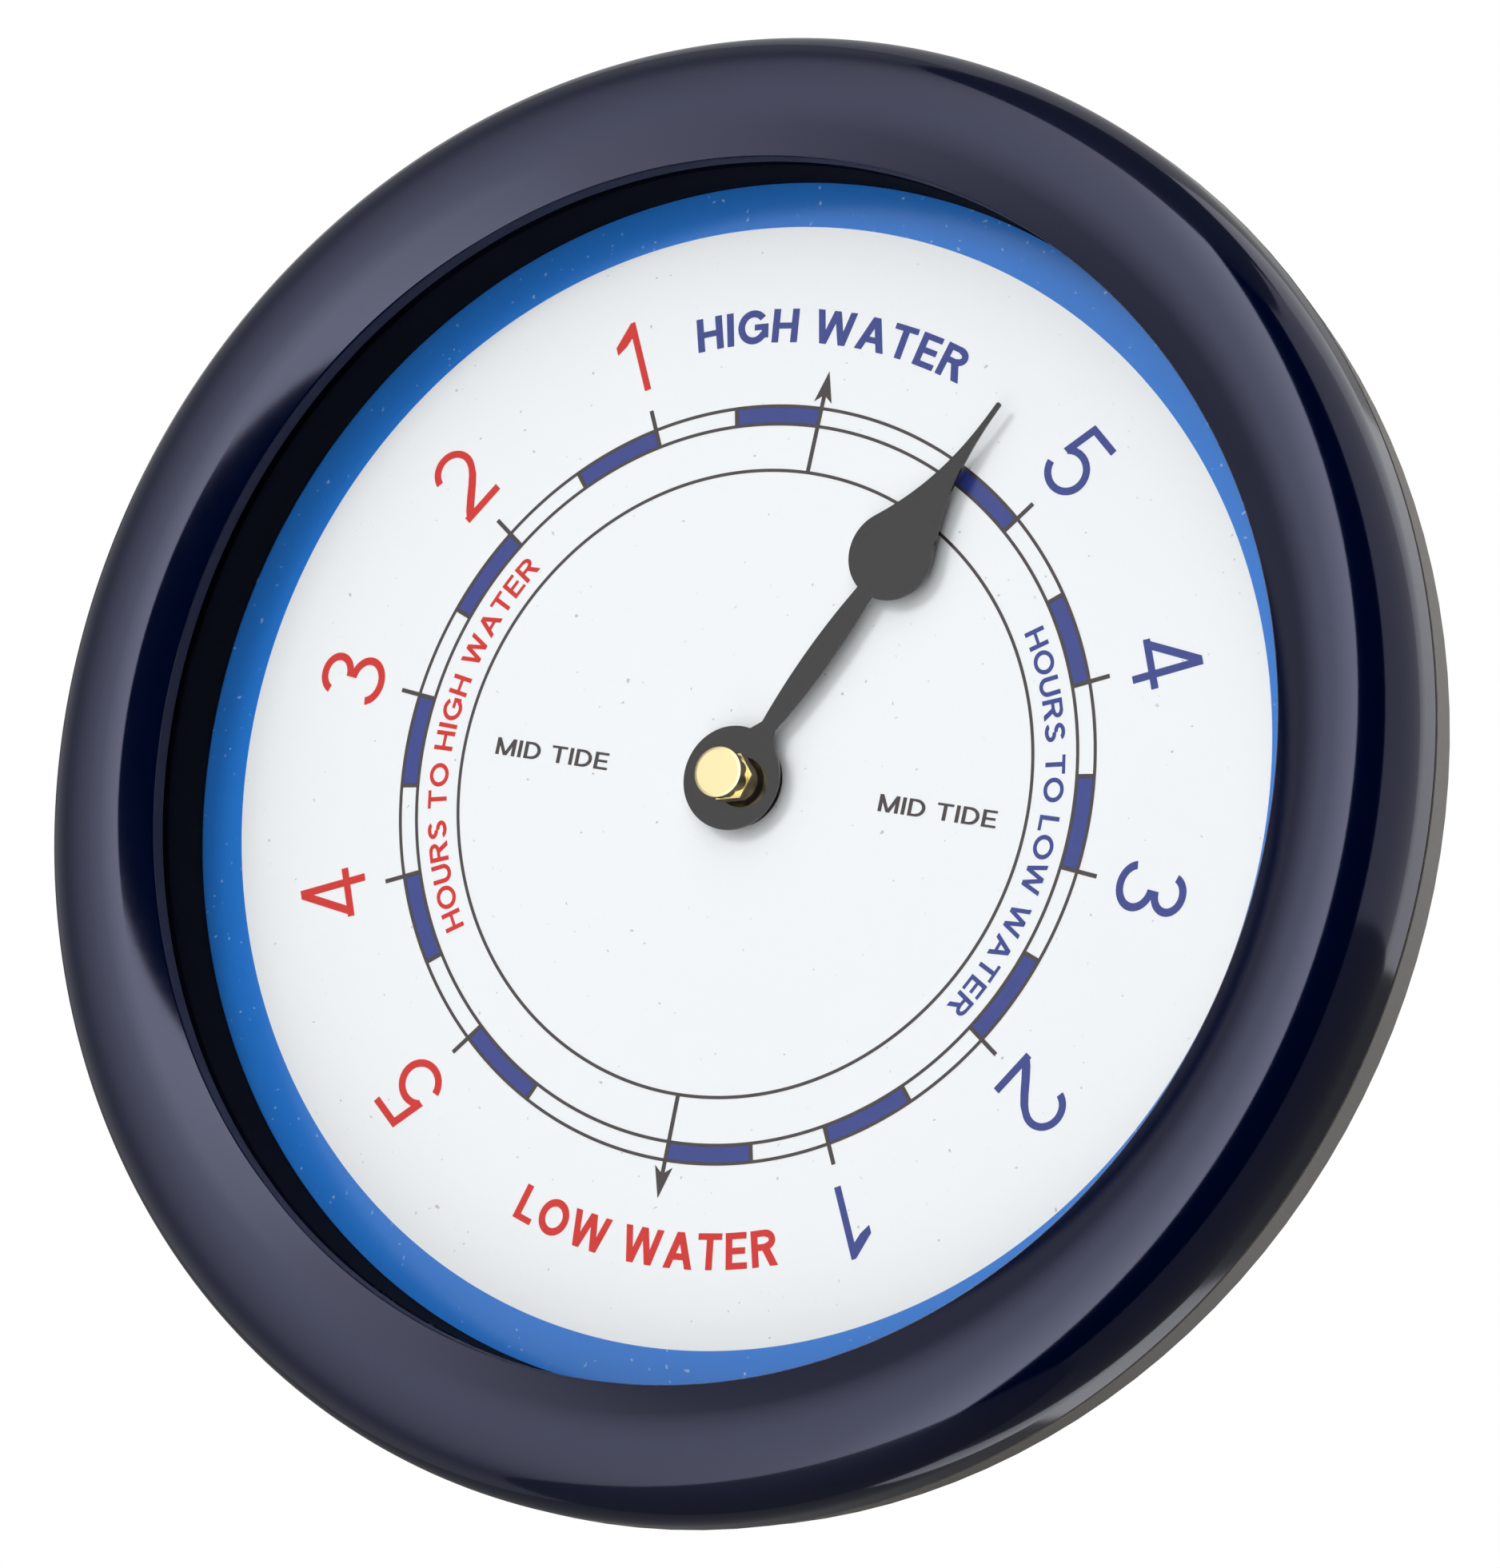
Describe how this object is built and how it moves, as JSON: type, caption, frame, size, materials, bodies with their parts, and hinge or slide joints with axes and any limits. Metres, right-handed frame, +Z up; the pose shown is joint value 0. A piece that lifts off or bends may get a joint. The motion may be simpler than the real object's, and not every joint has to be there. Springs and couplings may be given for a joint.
{
  "type": "tide clock",
  "caption": "Round wall tide clock with a domed bezel, flat lens, printed tide dial, one spade hand and a battery movement that turns it once per tide cycle.",
  "frame": {"origin": "centre of the back rim, on the wall's plane", "axes": "+X right as seen from the front, +Y into the wall, +Z up; the dial faces -Y"},
  "size_m": [0.2414, 0.0436, 0.2414],
  "materials": {
    "navy_abs": "gloss",
    "clear_acrylic": "clear gloss",
    "black_abs": "gloss",
    "dial_print": "coated print",
    "grey_abs": "satin",
    "zinc_steel": "zinc plated",
    "black_enamel": "gloss",
    "brass": "polished",
    "rubber": "matt",
    "movement_black": "satin",
    "bridge_grey": "satin",
    "arbor_steel": "turned",
    "acetal": "satin",
    "spring_bronze": "satin",
    "ferrite": "matt",
    "soft_iron": "stamped",
    "copper_wire": "enamelled",
    "fibre_board": "lacquered",
    "black_resin": "gloss",
    "cell_sleeve": "gloss"
  },
  "bodies": {
    "clock": {"bezel": "navy_abs", "lens": "clear_acrylic", "spacer_ring": "black_abs", "dial": "dial_print", "back_shell": "grey_abs", "case_screws": "zinc_steel", "movement_screws": "zinc_steel", "positive_contact": "zinc_steel", "negative_contact": "zinc_steel", "quartz_crystal": "zinc_steel", "threaded_bush": "brass", "brass_washer": "brass", "fixing_nut": "brass", "rubber_washer": "rubber", "movement_case": "movement_black", "movement_cover": "movement_black", "train_bridge": "bridge_grey", "coil_bobbin": "bridge_grey", "stator": "soft_iron", "coil_core": "soft_iron", "coil_winding": "copper_wire", "circuit_board": "fibre_board", "driver_chip": "black_resin"},
    "hand": {"tide_hand": "black_enamel", "hand_bushing": "brass", "cap_nut": "brass", "tide_arbor": "arbor_steel", "tide_wheel": "acetal"},
    "minute": {"minute_wheel": "acetal"},
    "setting": {"centre_arbor": "arbor_steel", "cannon_pinion": "acetal", "clutch_spring": "spring_bronze", "set_knob": "movement_black"},
    "rotor": {"rotor_pinion": "acetal", "rotor_magnet": "ferrite"},
    "intermediate": {"intermediate_wheel": "acetal"},
    "fourth": {"fourth_wheel": "acetal"},
    "third": {"third_wheel": "acetal"},
    "centre": {"centre_wheel": "acetal"},
    "cell": {"battery_cell": "cell_sleeve"}
  },
  "joints": [
    {"name": "hand_turn", "type": "hinge", "parent": "clock", "child": "hand", "pos_m": [0, -0.012, 0], "axis": [0, 1, 0], "continuous": true},
    {"name": "minute_turn", "type": "hinge", "parent": "clock", "child": "minute", "pos_m": [-0.00788, -0.012, 0.00455], "axis": [0, 1, 0], "continuous": true},
    {"name": "setting_turn", "type": "hinge", "parent": "clock", "child": "setting", "pos_m": [0, -0.012, 0], "axis": [0, 1, 0], "continuous": true},
    {"name": "rotor_turn", "type": "hinge", "parent": "clock", "child": "rotor", "pos_m": [-0.00013, -0.012, 0.01094], "axis": [0, 1, 0], "continuous": true},
    {"name": "intermediate_turn", "type": "hinge", "parent": "clock", "child": "intermediate", "pos_m": [0.00597, -0.012, 0.01009], "axis": [0, 1, 0], "continuous": true},
    {"name": "fourth_turn", "type": "hinge", "parent": "clock", "child": "fourth", "pos_m": [0.01322, -0.012, 0.00815], "axis": [0, 1, 0], "continuous": true},
    {"name": "third_turn", "type": "hinge", "parent": "clock", "child": "third", "pos_m": [0.00897, -0.012, 0.00078], "axis": [0, 1, 0], "continuous": true},
    {"name": "centre_turn", "type": "hinge", "parent": "clock", "child": "centre", "pos_m": [0, -0.012, 0], "axis": [0, 1, 0], "continuous": true},
    {"name": "cell_slide", "type": "slide", "parent": "clock", "child": "cell", "axis": [0, 1, 0], "range_m": [0, 0.018]}
  ],
  "couplings": [
    {"joint": "minute_turn", "follows": "hand_turn", "ratio": -3.7273},
    {"joint": "setting_turn", "follows": "hand_turn", "ratio": 12.424},
    {"joint": "intermediate_turn", "follows": "rotor_turn", "ratio": -0.16667},
    {"joint": "fourth_turn", "follows": "rotor_turn", "ratio": 0.033333},
    {"joint": "third_turn", "follows": "rotor_turn", "ratio": -0.0044444},
    {"joint": "centre_turn", "follows": "rotor_turn", "ratio": 0.00055556}
  ]
}
